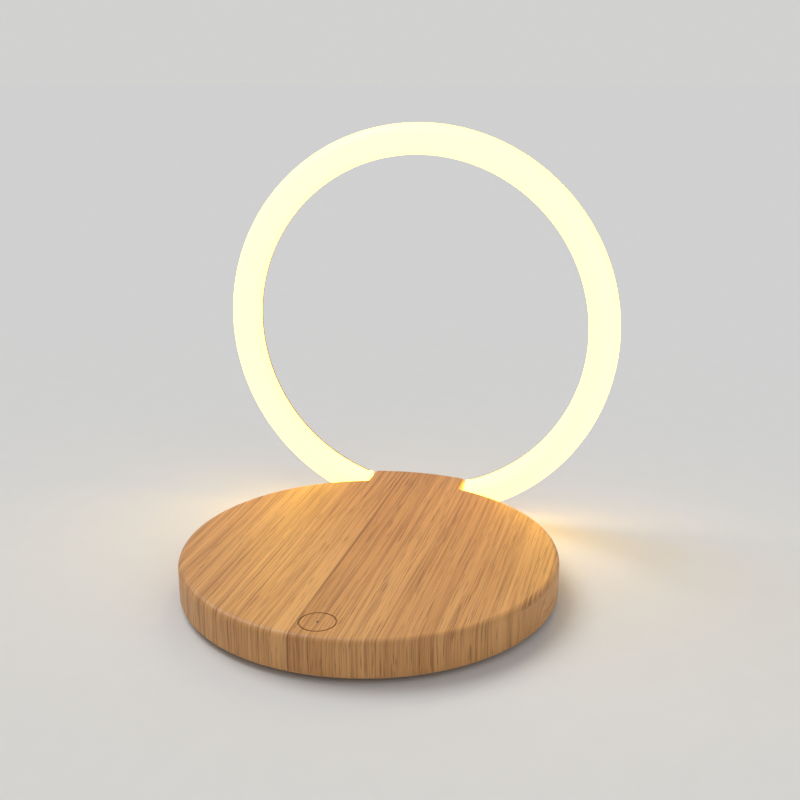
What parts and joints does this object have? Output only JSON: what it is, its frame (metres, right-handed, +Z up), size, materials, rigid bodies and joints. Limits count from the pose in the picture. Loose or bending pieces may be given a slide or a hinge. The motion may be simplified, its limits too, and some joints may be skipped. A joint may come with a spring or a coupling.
{
  "type": "wireless charging pad",
  "caption": "Round wooden wireless charging pad with a touch key and a glowing ring lamp that stands behind it on a hinge and folds down round the disc.",
  "frame": {"origin": "centre of the round disc on the surface that the anti-slip pad rests on", "axes": "+Z up, +Y from the touch key towards the ring lamp and the inlet at the back, +X to the right seen from the key"},
  "size_m": [0.1478, 0.1356, 0.1475],
  "materials": {
    "bamboo_wood": "fine straight grain, clear satin oil",
    "opal_diffuser": "translucent opal, lit from inside",
    "black_plastic": "fine spark texture",
    "grey_plastic": "fine texture",
    "white_plastic": "plain moulded",
    "silicone": "soft matt",
    "zinc_steel": "zinc plated",
    "stainless": "drawn and tumbled",
    "shield_aluminium": "rolled foil",
    "ferrite": "sintered ferrite sheet",
    "litz_copper": "enamelled copper winding",
    "board_green": "solder mask",
    "board_white": "white solder mask",
    "chip_black": "moulded epoxy",
    "ceramic_tan": "ceramic capacitor body",
    "led_yellow": "phosphor lens in white frame",
    "clear_plastic": "clear moulded light pipe",
    "wire_red": "soft wire sleeve"
  },
  "bodies": {
    "base": {"base_body": "bamboo_wood", "bottom_cover": "black_plastic", "anti_slip_pad": "silicone", "cover_screws": "zinc_steel", "coil_tray": "grey_plastic", "coil_shield_plate": "shield_aluminium", "ferrite_sheet": "ferrite", "charging_coil": "litz_copper", "coil_thermistor": "chip_black", "coil_leads": "litz_copper", "main_board": "board_green", "board_screws": "zinc_steel", "charge_controller": "chip_black", "bridge_transistors": "chip_black", "resonant_capacitors": "ceramic_tan", "power_inductor": "ferrite", "bulk_capacitors": "shield_aluminium", "led_driver": "chip_black", "led_connector": "white_plastic", "touch_connector": "white_plastic", "usb_c_shell": "stainless", "usb_c_tongue": "black_plastic", "port_bezel": "black_plastic", "touch_board": "board_green", "touch_electrode": "litz_copper", "touch_foam": "chip_black", "touch_controller": "chip_black", "touch_header": "white_plastic", "touch_harness": "wire_red", "indicator_led": "led_yellow", "indicator_light_pipe": "clear_plastic", "hinge_bracket_left": "zinc_steel", "hinge_bracket_right": "zinc_steel", "bracket_screws": "zinc_steel", "thrust_washer_left": "white_plastic", "thrust_washer_right": "white_plastic", "led_harness": "wire_red"},
    "ring_lamp": {"hinge_pin_left": "stainless", "hinge_pin_right": "stainless", "spring_washer_left": "stainless", "spring_washer_right": "stainless", "hinge_nut_left": "stainless", "hinge_nut_right": "stainless", "ring_end_cap_left": "opal_diffuser", "ring_end_cap_right": "opal_diffuser", "ring_diffuser": "opal_diffuser", "ring_hoop": "bamboo_wood", "led_board": "board_white", "led_chips": "led_yellow", "ring_lead": "wire_red"}
  },
  "joints": [
    {"name": "ring_fold", "type": "hinge", "parent": "base", "child": "ring_lamp", "pos_m": [0, 0.06577, 0.0078], "axis": [1, 0, 0], "range_deg": [0, 90]}
  ]
}
